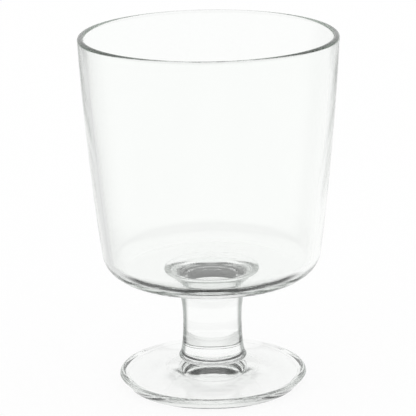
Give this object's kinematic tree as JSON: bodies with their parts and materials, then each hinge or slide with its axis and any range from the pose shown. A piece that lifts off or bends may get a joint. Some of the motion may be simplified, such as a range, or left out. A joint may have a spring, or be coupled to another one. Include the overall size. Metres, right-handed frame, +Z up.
{
  "type": "goblet",
  "caption": "Clear glass goblet: a wide, gently flared bowl on a short solid stem and a round foot, for serving drinks.",
  "frame": {"origin": "on the table, at the middle of the ring that the foot stands on", "axes": "+Z up along the goblet's own axis; it is a body of revolution, so X and Y are any two directions across it"},
  "size_m": [0.0862, 0.0862, 0.12],
  "materials": {
    "clear_glass": "fire-polished, clear"
  },
  "bodies": {
    "root": {"bowl": "clear_glass", "stem": "clear_glass", "foot": "clear_glass"}
  },
  "joints": []
}
